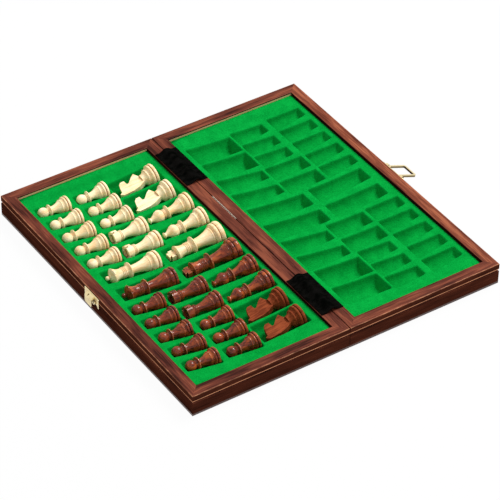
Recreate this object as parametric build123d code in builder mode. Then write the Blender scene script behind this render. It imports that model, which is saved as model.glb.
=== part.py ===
"""Folding chess box: two shallow wooden halves hinged along a spine, with flocked trays and 32 men.

The box is modelled open and lying flat, on the playing board that its outer faces make.
X runs across the hinge, Y along it and Z is up. The origin is on the resting face, in the
middle of the spine. The lid is the half at +X, and the base, which holds the men, is at -X.
"""

from build123d import *
from math import atan, atan2, cos, degrees, radians, sin, sqrt, tan
import os

# ---------------------------------------------------------------- driving dimensions, mm
# Case
OPEN_WIDTH = 300.0  # across both halves, outer face to outer face
CASE_LENGTH = 300.0  # along the hinge
HALF_HEIGHT = 20.3  # one half, board face to rim
SPINE_GAP = 0.5  # between the two spine rails
BOARD_THICKNESS = 2.0
OUTER_RAIL = 10.0
END_RAIL = 10.0
SPINE_RAIL = 10.75
ARRIS = 0.5  # rounding of the rails' rim edges
GROOVE_DROP = 6.7  # rim to the centre of the side groove
GROOVE_HEIGHT = 2.0
GROOVE_DEPTH = 1.0

# Trays
TRAY_SHEET = 0.6
TRAY_STAND = 0.2  # between the deepest pockets and the board
TRAY_FIT = 0.2  # between a tray's edge and the rails
TRAY_EDGE_DROP = 2.9  # rim to the tray at its long edges
TRAY_SAG = 4.3  # how much lower the tray is in its middle
END_SLANT = 0.47  # slope of a pocket's end wall at the man's head
END_DRAFT = 0.05  # slope of a pocket's end wall at the man's foot
PATTERN_SHIFT = 1.2  # the pockets' pattern sits this far off centre, along Y

# Hinges
HINGE_Y = (101.5, -99.5)  # middle of each hinge
HINGE_LENGTH = 36.0
AXIS_LIFT = 0.8  # hinge axis above the rims, half the gap of the closed box
KNUCKLE_RADIUS = 2.2
KNUCKLE_RELIEF = 0.3
KNUCKLE_GAP = 0.3
KNUCKLES = 3
PIN_RADIUS = 1.0
PIN_CLEARANCE = 0.05
LEAF_THICKNESS = 0.8
LEAF_REACH = 9.2  # hinge axis to the leaf's far edge
SCREW_X = 6.4  # hinge axis to the screws
SCREW_SPREAD = 24.0
SCREW_HEAD_RADIUS = 1.5
SCREW_SHANK_RADIUS = 0.8
SCREW_LENGTH = 8.0

# Fabric patches over the hinges
PATCH_LENGTH = 51.0
PATCH_REACH = 10.5
PATCH_THICKNESS = 0.7
PATCH_START = 3.0  # hinge axis to the part of a patch that is glued down

# Clasp on the lid
CLASP_PLATE_LENGTH = 30.5
CLASP_PLATE_HEIGHT = 7.6
CLASP_PLATE_DROP = 0.6  # rim to the plate's upper edge
CLASP_SHEET = 0.7
LOOP_WIRE = 1.8  # square wire
LOOP_WIDTH = 17.2
LOOP_REACH = 18.1  # pivot to the middle of the loop's bar
LOOP_DROOP = 21.5  # degrees below level, as the loop lies in the open box
LOOP_MIDDLE_Y = 0.4
LOOP_CORNER = 1.6
PIVOT_OUT = 2.1  # case to the loop's pivot
PIVOT_DROP = 2.8  # rim to the loop's pivot
PIVOT_RADIUS = 0.8
CURL_RADIUS = 1.5
CURL_LENGTH = 2.8
CURL_GAP = 0.3
CLASP_NAIL_SPREAD = 26.0

# Keeper on the base
KEEPER_WIDTH = 21.4
KEEPER_HEIGHT = 9.8
KEEPER_DROP = 1.0
KEEPER_SHEET = 0.9
KEEPER_MIDDLE_Y = 0.2
KEEPER_POINT = 1.2  # width of the point at the keeper's lower corner
KEEPER_SCALLOP = 2.4  # how high its lower edge is scooped out beside the tab
TAB_WIDTH = 10.4
TAB_MIDDLE_Y = 1.6
TAB_OUT = 3.6  # case to the tab's outer face
TAB_TOP_DROP = 3.1
TAB_BEND_DROP = 5.6
TAB_TIP_DROP = 12.3
TAB_CORNER = 1.6
ACCESS_HOLE = 0.8
KEEPER_NAIL_Y = (-3.9, 3.0)
KEEPER_NAIL_DROP = 8.1

# Brass nails
NAIL_HEAD_RADIUS = 1.3
NAIL_HEAD_HEIGHT = 0.5
NAIL_SHANK_RADIUS = 0.55
NAIL_LENGTH = 6.0

# Chessmen
MAN_CLEARANCE = 0.3  # between a man and the pocket he lies in
ROUNDING = 0.7  # how far a foot's edge is rounded
GROOVE = 0.5  # grooves turned between the rings
STEM_HOLLOW = 0.2  # share of a stem's taper that is left at its middle
COLLAR_RISE = 0.3  # share of a collar's height below its rim
COLLAR_RIM = 0.7

# Each man's length, then his foot disc's radius and height, the radius and top of the second disc on
# it, the radius, bottom and top of the ring under his stem, his head's radius and how far its widest
# part is from the tip, and places up his stem, radius and height. Heights are above the foot. Rings
# have one radius and the heights between them.
PAWN_LENGTH = 28.5
PAWN_FOOT = (8.2, 2.2)
PAWN_TIER = (7.9, 4.6)
PAWN_RING = (6.4, 6.4, 7.8)
PAWN_HEAD = (4.8, 4.8)
PAWN_NECK = (3.2, 16.4)
PAWN_COLLAR = 5.6  # radius
PAWN_SEAT = 3.0  # radius of the neck under a pawn's ball

ROOK_LENGTH = 31.6
ROOK_FOOT = (8.8, 2.4)
ROOK_TIER = (8.5, 6.0)
ROOK_RING = (7.0, 8.0, 9.4)
ROOK_HEAD = (6.2, 0.0)
ROOK_NECK = (3.5, 20.8)
ROOK_RINGS = (4.1, (22.0, 23.2, 24.4))
ROOK_CROWN = 26.6  # height of the crown's lower edge
ROOK_SLOTS = 4
ROOK_SLOT_WIDTH = 1.5
ROOK_WELL_RADIUS = 4.1
ROOK_WELL_DEPTH = 2.3

BISHOP_LENGTH = 40.6
BISHOP_FOOT = (9.5, 2.3)
BISHOP_TIER = (9.2, 6.0)
BISHOP_RING = (7.0, 8.2, 9.7)
BISHOP_HEAD = (5.8, 10.2)
BISHOP_NECK = (3.4, 20.6)
BISHOP_COLLAR = 6.3  # radius
BISHOP_RINGS = (3.9, (24.2, 25.2, 26.2))
BISHOP_EGG_START = (0.8, 1)  # direction of the head's outline where it leaves the rings
BISHOP_EGG_END = (-0.45, 1)  # and where it meets the tip
BISHOP_TIP = (1.9, 37.5)
BISHOP_BUTTON = (2.9, 39.3)
BISHOP_SLIT = 0.9
BISHOP_SLIT_SLOPE = 0.55

QUEEN_LENGTH = 49.5
QUEEN_FOOT = (9.4, 2.3)
QUEEN_TIER = (9.1, 6.2)
QUEEN_RING = (6.9, 8.4, 9.9)
QUEEN_HEAD = (7.1, 6.6)
QUEEN_NECK = (3.8, 25.4)
QUEEN_COLLAR = 7.2  # radius
QUEEN_RINGS = (4.4, (30.4, 31.7, 33.0, 34.4))
QUEEN_BALL = 1.9
QUEEN_SEAT = 1.2  # radius of the neck under a queen's ball
QUEEN_SCALLOPS = 8
QUEEN_SCALLOP_RADIUS = 1.0

KING_LENGTH = 51.6
KING_FOOT = (10.5, 4.0)
KING_TIER = (10.2, 7.4)
KING_RING = (7.9, 8.8, 10.4)
KING_HEAD = (6.9, 8.1)
KING_NECK = (4.5, 25.4)
KING_COLLAR = 7.9  # radius
KING_RINGS = (4.7, (31.0, 32.4, 33.8, 35.2))
KING_CROSS_THICKNESS = 4.6
# Half of the king's cross, across and above his cup: foot, waist, arm and top
KING_CROSS = [
    (2.6, 0.0),
    (1.7, 2.8),
    (4.1, 2.1),
    (4.1, 6.2),
    (1.7, 5.4),
    (2.9, 8.1),
]

KNIGHT_FOOT = (10.2, 2.5)
KNIGHT_TIER = (9.9, 5.2)
KNIGHT_RING = (7.6, 7.0, 8.6)
KNIGHT_HEAD = (9.2, 2.4)
KNIGHT_NECK = 4.6  # radius
KNIGHT_THICKNESS = 5.0
KNIGHT_STEM_TOP = 13.2
# The knight's cut-out outline, across and above the top of his stem: mane, ears and muzzle
KNIGHT_CREST = [
    (2.9, -1.0),
    (4.3, 0.4),
    (9.2, 2.4),
    (7.0, 5.8),
    (1.6, 11.4),
    (1.8, 13.1),
    (6.6, 13.5),
    (6.7, 16.9),
    (4.6, 19.2),
    (0.0, 20.8),
    (-5.0, 21.9),
    (-6.4, 24.6),
    (-9.0, 22.2),
    (-9.2, 12.4),
    (-7.9, 5.8),
    (-4.6, -1.0),
]
KNIGHT_CHEST = (0.0, -1.2)

# Pockets. The rows of each kind, as distances along Y from the middle of the box, its foot and
# head ends along X, its radius at those ends, and its foot gap: how far from its foot end a light
# man and a dark man lie. Every row is there twice, once on each side of the middle.
KNIGHT_ROWS = (84.7, 110.3)
KNIGHT_ENDS = (18.1, 62.6)
KNIGHT_RADII = (11.8, 10.8)
KNIGHT_GAPS = (3.2, 2.3)
BISHOP_ROWS = (37.3, 60.5)
BISHOP_ENDS = (16.3, 60.3)
BISHOP_RADII = (10.3, 5.9)
BISHOP_GAPS = (1.5, 1.2)
KING_ROWS = (12.6,)
KING_ENDS = (16.3, 71.6)
KING_RADII = (11.2, 8.2)
KING_GAPS = (1.3, 1.5)
MIDDLE_PAWN_ROWS = (77.0, 96.4, 115.8)
MIDDLE_PAWN_ENDS = (65.2, 96.6)
MIDDLE_PAWN_RADII = (8.8, 5.8)
MIDDLE_PAWN_GAPS = (1.4, 1.2)
ROOK_ROWS = (35.0, 57.0)
ROOK_ENDS = (63.2, 99.9)
ROOK_RADII = (9.4, 7.7)
ROOK_GAPS = (1.2, 1.1)
OUTER_PAWN_ROWS = (34.6, 54.7, 74.8, 94.9, 115.0)
OUTER_PAWN_ENDS = (103.4, 134.8)
OUTER_PAWN_RADII = (8.8, 5.8)
OUTER_PAWN_GAPS = (1.3, 1.2)
QUEEN_ROWS = (12.8,)
QUEEN_ENDS = (78.5, 131.1)
QUEEN_RADII = (10.0, 7.9)
QUEEN_GAPS = (1.3, 1.2)

# ---------------------------------------------------------------- worked-out places
KNIGHT_LENGTH = KNIGHT_STEM_TOP + max(height for _, height in KNIGHT_CREST)
HALF = OPEN_WIDTH / 2
SPINE_FACE = SPINE_GAP / 2
END = CASE_LENGTH / 2
RIM = HALF_HEIGHT
WELL_IN = SPINE_FACE + SPINE_RAIL
WELL_OUT = HALF - OUTER_RAIL
WELL_END = END - END_RAIL
AXIS_Z = RIM + AXIS_LIFT
GROOVE_Z = RIM - GROOVE_DROP

TRAY_MIDDLE = (WELL_IN + WELL_OUT) / 2
TRAY_HALF_WIDTH = (WELL_OUT - WELL_IN) / 2
TRAY_LOW_Z = RIM - TRAY_EDGE_DROP - TRAY_SAG
TRAY_UNDERSIDE = BOARD_THICKNESS + TRAY_STAND

PIVOT_X = HALF + PIVOT_OUT
PIVOT_Z = RIM - PIVOT_DROP


def sag_z(x):
    """Height of a tray's upper surface, which sags in a parabola across the well."""
    return TRAY_LOW_Z + TRAY_SAG * ((x - TRAY_MIDDLE) / TRAY_HALF_WIDTH) ** 2


class Pocket:
    """One kind of pocket in the lid's tray, with the men that lie in the base's copy of it."""

    def __init__(self, rows, ends, radii, gaps):
        self.rows = rows
        self.foot_x, self.head_x = ends
        self.foot_radius, self.head_radius = radii
        self.light_gap, self.dark_gap = gaps
        self.length = self.head_x - self.foot_x
        self.middle = (self.foot_x + self.head_x) / 2
        self.middle_z = sag_z(self.middle)
        self.slope = atan(2 * TRAY_SAG * (self.middle - TRAY_MIDDLE) / TRAY_HALF_WIDTH**2)

    def radius_at(self, x):
        share = (x - self.foot_x) / self.length
        return self.foot_radius + share * (self.head_radius - self.foot_radius)

    def axis_at(self, x):
        return self.middle_z + (x - self.middle) * tan(self.slope)

    def places(self):
        ys = [side * row + PATTERN_SHIFT for row in self.rows for side in (1, -1)]
        return [Location((self.middle, y, self.middle_z), (0, -degrees(self.slope), 0)) for y in ys]


POCKETS = {
    "knight": Pocket(KNIGHT_ROWS, KNIGHT_ENDS, KNIGHT_RADII, KNIGHT_GAPS),
    "bishop": Pocket(BISHOP_ROWS, BISHOP_ENDS, BISHOP_RADII, BISHOP_GAPS),
    "king": Pocket(KING_ROWS, KING_ENDS, KING_RADII, KING_GAPS),
    "middle_pawn": Pocket(
        MIDDLE_PAWN_ROWS, MIDDLE_PAWN_ENDS, MIDDLE_PAWN_RADII, MIDDLE_PAWN_GAPS
    ),
    "rook": Pocket(ROOK_ROWS, ROOK_ENDS, ROOK_RADII, ROOK_GAPS),
    "outer_pawn": Pocket(OUTER_PAWN_ROWS, OUTER_PAWN_ENDS, OUTER_PAWN_RADII, OUTER_PAWN_GAPS),
    "queen": Pocket(QUEEN_ROWS, QUEEN_ENDS, QUEEN_RADII, QUEEN_GAPS),
}


# ---------------------------------------------------------------- case
def inward_plane(x, y, inward):
    """A plane square to a rail: its x runs from the rail's outer face inwards, and its y up."""
    direction = Vector(*inward)
    return Plane(origin=(x, y, 0), x_dir=direction, z_dir=direction.cross(Vector(0, 0, 1)))


def rail(corners, section_plane, depth, grooved):
    """One mitred rail: its plan between two corners of the case, cut to its section."""
    with BuildPart() as stick:
        with BuildSketch(Plane.XY.offset(BOARD_THICKNESS)):
            with BuildLine():
                Polyline(*corners, close=True)
            make_face()
        extrude(amount=RIM - BOARD_THICKNESS)
        with BuildSketch(section_plane) as section:
            with BuildLine():
                Polyline((0, 0), (depth, 0), (depth, RIM), (0, RIM), close=True)
            make_face()
            fillet(section.vertices().group_by(Axis.Y)[-1], radius=ARRIS)
            if grooved:
                with BuildLine():
                    ThreePointArc(
                        (0, GROOVE_Z - GROOVE_HEIGHT / 2),
                        (GROOVE_DEPTH, GROOVE_Z),
                        (0, GROOVE_Z + GROOVE_HEIGHT / 2),
                    )
                    Line(
                        (0, GROOVE_Z + GROOVE_HEIGHT / 2),
                        (0, GROOVE_Z - GROOVE_HEIGHT / 2),
                    )
                make_face(mode=Mode.SUBTRACT)
        extrude(amount=max(OPEN_WIDTH, CASE_LENGTH), both=True, mode=Mode.INTERSECT)
    return stick.part


def case_rails():
    """The four rails of the lid, by name."""
    outer = [(SPINE_FACE, -END), (HALF, -END), (HALF, END), (SPINE_FACE, END)]
    inner = [
        (WELL_IN, -WELL_END),
        (WELL_OUT, -WELL_END),
        (WELL_OUT, WELL_END),
        (WELL_IN, WELL_END),
    ]
    sides = {
        "near_rail": (0, inward_plane(0, -END, (0, 1, 0)), END_RAIL, True),
        "outer_rail": (1, inward_plane(HALF, 0, (-1, 0, 0)), OUTER_RAIL, True),
        "far_rail": (2, inward_plane(0, END, (0, -1, 0)), END_RAIL, True),
        "spine_rail": (3, inward_plane(SPINE_FACE, 0, (1, 0, 0)), SPINE_RAIL, False),
    }
    rails = {}
    for name, (first, plane, depth, grooved) in sides.items():
        second = (first + 1) % 4
        corners = (outer[first], outer[second], inner[second], inner[first])
        rails[name] = rail(corners, plane, depth, grooved)
    return rails


def board_panel():
    """The thin panel under one half: half of the playing board, glued to the rails."""
    with BuildPart() as panel:
        with BuildSketch():
            with Locations(((SPINE_FACE + HALF) / 2, 0)):
                Rectangle(HALF - SPINE_FACE, CASE_LENGTH)
        extrude(amount=BOARD_THICKNESS)
    return panel.part


# ---------------------------------------------------------------- trays
def pocket_form(pocket, grow):
    """A pocket as a solid, foot end at -X, with its walls moved outwards by grow."""
    foot_x = -pocket.length / 2 - grow
    head_x = pocket.length / 2 + grow
    foot_radius = pocket.foot_radius + grow
    head_radius = pocket.head_radius + grow
    deep = foot_radius + grow
    with BuildPart() as form:
        with BuildSketch(Plane.XZ):
            Polygon(
                (foot_x, 0), (foot_x, foot_radius), (head_x, head_radius), (head_x, 0), align=None
            )
        revolve(axis=Axis.X)
        with BuildSketch(Plane.XZ):
            Polygon(
                (foot_x - END_DRAFT * deep, deep),
                (foot_x + END_DRAFT * deep, -deep),
                (head_x - END_SLANT * deep, -deep),
                (head_x, 0),
                (head_x, deep),
                align=None,
            )
        extrude(amount=deep, both=True, mode=Mode.INTERSECT)
    return form.part


def sag_line(left, right, drop):
    """The section of the sagging sheet between two edges, drop below its upper surface."""
    edge_z = sag_z(left)
    return Bezier(
        (left, edge_z - drop), (TRAY_MIDDLE, 2 * TRAY_LOW_Z - edge_z - drop), (right, edge_z - drop)
    )


def tray():
    """The lid's tray: a sagging sheet with a half-round pocket for every man."""
    left = WELL_IN + TRAY_FIT
    right = WELL_OUT - TRAY_FIT
    head_room = RIM + HALF_HEIGHT
    with BuildPart() as hollows:
        for pocket in POCKETS.values():
            hollow = pocket_form(pocket, 0)
            with Locations(*pocket.places()):
                add(hollow)
        split(bisect_by=Plane.XY.offset(TRAY_UNDERSIDE + TRAY_SHEET), keep=Keep.TOP)
    with BuildPart() as sheet:
        with BuildSketch(Plane.XZ):
            with BuildLine():
                upper = sag_line(left, right, 0)
                lower = sag_line(left, right, TRAY_SHEET)
                Line(upper @ 0, lower @ 0)
                Line(upper @ 1, lower @ 1)
            make_face()
        extrude(amount=WELL_END - TRAY_FIT, both=True)
        for pocket in POCKETS.values():
            shell = pocket_form(pocket, TRAY_SHEET)
            with Locations(*pocket.places()):
                add(shell)
        split(bisect_by=Plane.XY.offset(TRAY_UNDERSIDE), keep=Keep.TOP)
        with BuildSketch(Plane.XZ):
            with BuildLine():
                upper = sag_line(WELL_IN, WELL_OUT, 0)
                Polyline(upper @ 0, (WELL_IN, head_room), (WELL_OUT, head_room), upper @ 1)
            make_face()
        extrude(amount=END, both=True, mode=Mode.SUBTRACT)
        add(hollows.part, mode=Mode.SUBTRACT)
    return sheet.part


# ---------------------------------------------------------------- hinges
def knuckle_spans(body):
    """Lengths along Y of one body's knuckles: the lid has the even ones, the base the odd."""
    pitch = HINGE_LENGTH / KNUCKLES
    wanted = 1 if body == "lid" else 0
    starts = [-HINGE_LENGTH / 2 + n * pitch for n in range(KNUCKLES) if n % 2 == wanted]
    return [(start + KNUCKLE_GAP / 2, start + pitch - KNUCKLE_GAP / 2) for start in starts]


def hinge_leaf(hinge_y, body):
    """One leaf with its knuckles, let into the rim of the spine rail, on the lid's side."""
    bore = PIN_RADIUS + (PIN_CLEARANCE if body == "lid" else 0)
    notch = KNUCKLE_RADIUS + KNUCKLE_RELIEF
    with BuildPart() as leaf:
        with BuildSketch(Plane.XY.offset(RIM - LEAF_THICKNESS)):
            with Locations(((notch + LEAF_REACH) / 2, hinge_y)):
                Rectangle(LEAF_REACH - notch, HINGE_LENGTH)
            for low, high in knuckle_spans(body):
                with Locations((notch / 2, hinge_y + (low + high) / 2)):
                    Rectangle(notch, high - low)
        extrude(amount=LEAF_THICKNESS)
        for low, high in knuckle_spans(body):
            with BuildSketch(Plane.XZ.offset(-(hinge_y + high))):
                with Locations((0, AXIS_Z)):
                    Circle(KNUCKLE_RADIUS)
            extrude(amount=high - low)
        with BuildSketch(Plane.XZ.offset(-(hinge_y + HINGE_LENGTH / 2))):
            with Locations((0, AXIS_Z)):
                Circle(bore)
        extrude(amount=HINGE_LENGTH, mode=Mode.SUBTRACT)
        add(hinge_screws(hinge_y), mode=Mode.SUBTRACT)
    return leaf.part


def hinge_screws(hinge_y):
    """Two countersunk screws, flush with the leaf."""
    with BuildPart() as screws:
        for screw_y in (hinge_y - SCREW_SPREAD / 2, hinge_y + SCREW_SPREAD / 2):
            with BuildSketch(Plane.XZ.offset(-screw_y)):
                with BuildLine():
                    Polyline(
                        (SCREW_X, RIM),
                        (SCREW_X + SCREW_HEAD_RADIUS, RIM),
                        (SCREW_X + SCREW_SHANK_RADIUS, RIM - LEAF_THICKNESS),
                        (SCREW_X + SCREW_SHANK_RADIUS, RIM - SCREW_LENGTH + SCREW_SHANK_RADIUS),
                        (SCREW_X, RIM - SCREW_LENGTH),
                        close=True,
                    )
                make_face()
            revolve(axis=Axis((SCREW_X, screw_y, 0), (0, 0, 1)))
    return screws.part


def hinge_pins():
    """One pin through each hinge, held in the base's knuckles."""
    with BuildPart() as pins:
        for hinge_y in HINGE_Y:
            with BuildSketch(Plane.XZ.offset(-(hinge_y + HINGE_LENGTH / 2))):
                with Locations((0, AXIS_Z)):
                    Circle(PIN_RADIUS)
            extrude(amount=HINGE_LENGTH)
    return pins.part


def hinge_mortises():
    """What the hinges take out of a spine rail: leaf beds, room for the knuckles, screw holes."""
    with BuildPart() as mortises:
        for hinge_y in HINGE_Y:
            with BuildSketch(Plane.XY.offset(RIM - LEAF_THICKNESS)):
                with Locations((LEAF_REACH / 2, hinge_y)):
                    Rectangle(LEAF_REACH, HINGE_LENGTH)
            extrude(amount=LEAF_THICKNESS)
            with BuildSketch(Plane.XZ.offset(-(hinge_y + HINGE_LENGTH / 2))):
                with Locations((0, AXIS_Z)):
                    Circle(KNUCKLE_RADIUS + KNUCKLE_RELIEF)
            extrude(amount=HINGE_LENGTH)
            add(hinge_screws(hinge_y))
    return mortises.part


def hinge_patches():
    """The lid's glued-down halves of the fabric patches that hide the hinges."""
    with BuildPart() as patches:
        with BuildSketch(Plane.XY.offset(RIM)):
            for hinge_y in HINGE_Y:
                with Locations(((PATCH_START + PATCH_REACH) / 2, hinge_y)):
                    Rectangle(PATCH_REACH - PATCH_START, PATCH_LENGTH)
        extrude(amount=PATCH_THICKNESS)
    return patches.part


# ---------------------------------------------------------------- clasp and keeper
def nail(head_x, outward, y, z):
    """A domed brass nail along X, its head resting on a plate whose face is at head_x."""
    crown_x = head_x + outward * NAIL_HEAD_HEIGHT
    point_x = head_x - outward * NAIL_LENGTH
    dome = (NAIL_HEAD_RADIUS**2 + NAIL_HEAD_HEIGHT**2) / (2 * NAIL_HEAD_HEIGHT)
    shoulder_x = crown_x - outward * (dome - sqrt(dome**2 - NAIL_HEAD_RADIUS**2 / 4))
    with BuildPart() as whole:
        with BuildSketch(Plane.XZ.offset(-y)):
            with BuildLine():
                ThreePointArc(
                    (crown_x, z),
                    (shoulder_x, z + NAIL_HEAD_RADIUS / 2),
                    (head_x, z + NAIL_HEAD_RADIUS),
                )
                Polyline(
                    (head_x, z + NAIL_HEAD_RADIUS),
                    (head_x, z + NAIL_SHANK_RADIUS),
                    (point_x + outward * 2 * NAIL_SHANK_RADIUS, z + NAIL_SHANK_RADIUS),
                    (point_x, z),
                    (crown_x, z),
                )
            make_face()
        revolve(axis=Axis((0, y, z), (1, 0, 0)))
    return whole.part


def clasp_nails():
    """The two nails of the clasp's plate."""
    middle_z = RIM - CLASP_PLATE_DROP - CLASP_PLATE_HEIGHT / 2
    with BuildPart() as nails:
        for y in (-CLASP_NAIL_SPREAD / 2, CLASP_NAIL_SPREAD / 2):
            add(nail(HALF + CLASP_SHEET, 1, y, middle_z))
    return nails.part


def curl_spans():
    """Lengths along Y of the two curls that hold the loop, outside its arms."""
    reach = LOOP_WIDTH / 2 + CURL_GAP
    return [
        (LOOP_MIDDLE_Y + reach, LOOP_MIDDLE_Y + reach + CURL_LENGTH),
        (LOOP_MIDDLE_Y - reach - CURL_LENGTH, LOOP_MIDDLE_Y - reach),
    ]


def clasp_plate():
    """The lid's brass plate, with two curls that carry the loop's pins."""
    middle_z = RIM - CLASP_PLATE_DROP - CLASP_PLATE_HEIGHT / 2
    with BuildPart() as plate:
        with BuildSketch(Plane.YZ.offset(HALF)) as outline:
            with Locations((0, middle_z)):
                Rectangle(CLASP_PLATE_LENGTH, CLASP_PLATE_HEIGHT)
            fillet(outline.vertices(), radius=CLASP_PLATE_HEIGHT / 4)
        extrude(amount=CLASP_SHEET)
        for low, high in curl_spans():
            with BuildSketch(Plane.XZ.offset(-high)):
                with Locations((PIVOT_X, PIVOT_Z)):
                    Circle(CURL_RADIUS)
            extrude(amount=high - low)
            with BuildSketch(Plane.XZ.offset(-high)):
                with Locations((PIVOT_X, PIVOT_Z)):
                    Circle(PIVOT_RADIUS + PIN_CLEARANCE)
            extrude(amount=high - low, mode=Mode.SUBTRACT)
        add(clasp_nails(), mode=Mode.SUBTRACT)
    return plate.part


def clasp_loop():
    """The loop of square brass wire, with a pin turned outwards at the end of each arm."""
    droop = radians(LOOP_DROOP)
    half_wire = LOOP_WIRE / 2
    level = Plane(
        origin=(PIVOT_X, LOOP_MIDDLE_Y, PIVOT_Z),
        x_dir=(cos(droop), 0, -sin(droop)),
        z_dir=(sin(droop), 0, cos(droop)),
    )
    bar_out = LOOP_REACH + half_wire
    bar_in = LOOP_REACH - half_wire
    with BuildPart() as loop:
        with BuildSketch(level.offset(-half_wire)) as ring:
            with Locations((bar_out / 2, 0)):
                Rectangle(bar_out, LOOP_WIDTH)
            chamfer(ring.vertices().group_by(Axis.X)[-1], length=LOOP_CORNER)
            with Locations((bar_in / 2, 0)):
                Rectangle(bar_in, LOOP_WIDTH - 2 * LOOP_WIRE, mode=Mode.SUBTRACT)
        extrude(amount=LOOP_WIRE)
        for side in (1, -1):
            arm_outside = LOOP_MIDDLE_Y + side * LOOP_WIDTH / 2
            with BuildSketch(Plane.XZ.offset(-arm_outside)):
                with Locations((PIVOT_X, PIVOT_Z)):
                    Circle(half_wire)
            extrude(amount=side * LOOP_WIRE)
            with BuildSketch(Plane.XZ.offset(-arm_outside)):
                with Locations((PIVOT_X, PIVOT_Z)):
                    Circle(PIVOT_RADIUS)
            extrude(amount=-side * (CURL_GAP + CURL_LENGTH))
    return loop.part


def keeper_nails():
    """The two nails of the keeper, one of them behind its tab."""
    with BuildPart() as nails:
        for y in KEEPER_NAIL_Y:
            add(nail(-HALF - KEEPER_SHEET, -1, y, RIM - KEEPER_NAIL_DROP))
    return nails.part


def keeper():
    """The base's brass keeper: a plate with a bent tab that the loop swings over."""
    high = RIM - KEEPER_DROP
    low = high - KEEPER_HEIGHT
    near = KEEPER_MIDDLE_Y - KEEPER_WIDTH / 2
    far = KEEPER_MIDDLE_Y + KEEPER_WIDTH / 2
    point = near + KEEPER_POINT
    tab_near = TAB_MIDDLE_Y - TAB_WIDTH / 2
    front = -HALF - KEEPER_SHEET
    tab_top = RIM - TAB_TOP_DROP
    tab_bend = RIM - TAB_BEND_DROP
    tab_tip = RIM - TAB_TIP_DROP
    tab_face = -HALF - TAB_OUT
    tab_back = tab_face + KEEPER_SHEET
    with BuildPart() as plate:
        with BuildSketch(Plane.YZ.offset(-HALF)):
            with BuildLine():
                Polyline(
                    (tab_near, low), (far, low), (far, high), (near, high), (near, low), (point, low)
                )
                ThreePointArc(
                    (point, low), ((point + tab_near) / 2, low + KEEPER_SCALLOP), (tab_near, low)
                )
            make_face()
        extrude(amount=-KEEPER_SHEET)
        with BuildSketch(Plane.XZ.offset(-(TAB_MIDDLE_Y + TAB_WIDTH / 2))):
            Polygon(
                (-HALF, tab_top + KEEPER_SHEET),
                (front, tab_top + KEEPER_SHEET),
                (tab_face, tab_bend + KEEPER_SHEET / 2),
                (tab_face, tab_tip),
                (tab_back, tab_tip),
                (tab_back, tab_bend - KEEPER_SHEET / 2),
                (front, tab_top - KEEPER_SHEET),
                (-HALF, tab_top - KEEPER_SHEET),
                align=None,
            )
        extrude(amount=TAB_WIDTH)
        fillet(plate.edges().filter_by(Axis.X).group_by(Axis.Z)[0], radius=TAB_CORNER)
        with BuildSketch(Plane.XY.offset(tab_bend - KEEPER_SHEET)):
            with Locations(((tab_face + front) / 2, KEEPER_NAIL_Y[1])):
                Circle(ACCESS_HOLE)
        extrude(amount=TAB_BEND_DROP, mode=Mode.SUBTRACT)
        add(keeper_nails(), mode=Mode.SUBTRACT)
    return plate.part


# ---------------------------------------------------------------- chessmen
# Each man stands on XY with his axis along Z. The turned_ functions draw his outline, radius
# against height, from the middle of the foot to the tip.
def turned_foot(man, tier, ring):
    """Two rounded discs with a groove between them, a cove and the ring under the stem."""
    foot_radius = man.foot_radius
    foot_height = man.foot_height
    tier_radius, tier_high = tier
    ring_radius, ring_low, ring_high = ring
    tier_low = foot_height + GROOVE
    flat_radius = foot_radius - ROUNDING
    tier_flat = tier_radius - ROUNDING
    Line((0, 0), (flat_radius, 0))
    ThreePointArc((flat_radius, 0), (foot_radius, foot_height / 2), (flat_radius, foot_height))
    Polyline(
        (flat_radius, foot_height),
        (tier_flat - GROOVE, foot_height),
        (tier_flat - GROOVE, tier_low),
        (tier_flat, tier_low),
    )
    ThreePointArc(
        (tier_flat, tier_low), (tier_radius, (tier_low + tier_high) / 2), (tier_flat, tier_high)
    )
    turned_hollow((tier_flat, tier_high), (ring_radius - GROOVE, ring_low))
    turned_rings((ring_radius - GROOVE, (ring_low, ring_high)))


def stem_base(ring):
    """The place where a stem leaves the ring under it."""
    return ring[0] - GROOVE, ring[2]


def turned_hollow(lower, upper):
    """A hollow sweep between two places, such as a stem."""
    wide = max(lower[0], upper[0])
    narrow = min(lower[0], upper[0])
    middle = (STEM_HOLLOW * wide + (1 - STEM_HOLLOW) * narrow, (lower[1] + upper[1]) / 2)
    ThreePointArc(lower, middle, upper)


def turned_collar(neck, collar_radius, top):
    """A thin collar that spreads from the neck and is hollowed on its upper side."""
    rim_low = neck[1] + (top[1] - neck[1]) * COLLAR_RISE
    rim_high = rim_low + COLLAR_RIM
    Polyline(neck, (collar_radius, rim_low), (collar_radius, rim_high))
    turned_hollow((collar_radius, rim_high), top)


def lowest_ring(rings):
    """The place where a stack of rings begins."""
    return rings[0], rings[1][0]


def highest_ring(rings):
    """The place where a stack of rings ends."""
    return rings[0], rings[1][-1]


def turned_rings(rings):
    """A stack of rounded rings of one radius, between the given heights."""
    radius, heights = rings
    for low, high in zip(heights, heights[1:]):
        ThreePointArc((radius, low), (radius + GROOVE, (low + high) / 2), (radius, high))


def turned_dome(radius, low, high):
    """A dome over the axis, round about a point on it."""
    sphere = (radius**2 + (high - low) ** 2) / (2 * (high - low))
    shoulder_z = high - sphere + sqrt(sphere**2 - radius**2 / 4)
    ThreePointArc((radius, low), (radius / 2, shoulder_z), (0, high))


def ball_seat(neck_radius, radius, high):
    """The height at which a ball meets its neck."""
    return high - radius - sqrt(radius**2 - neck_radius**2)


def turned_ball(neck_radius, radius, high):
    """A ball on a neck."""
    seat_z = ball_seat(neck_radius, radius, high)
    ThreePointArc((neck_radius, seat_z), (radius, high - radius), (0, high))


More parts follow.
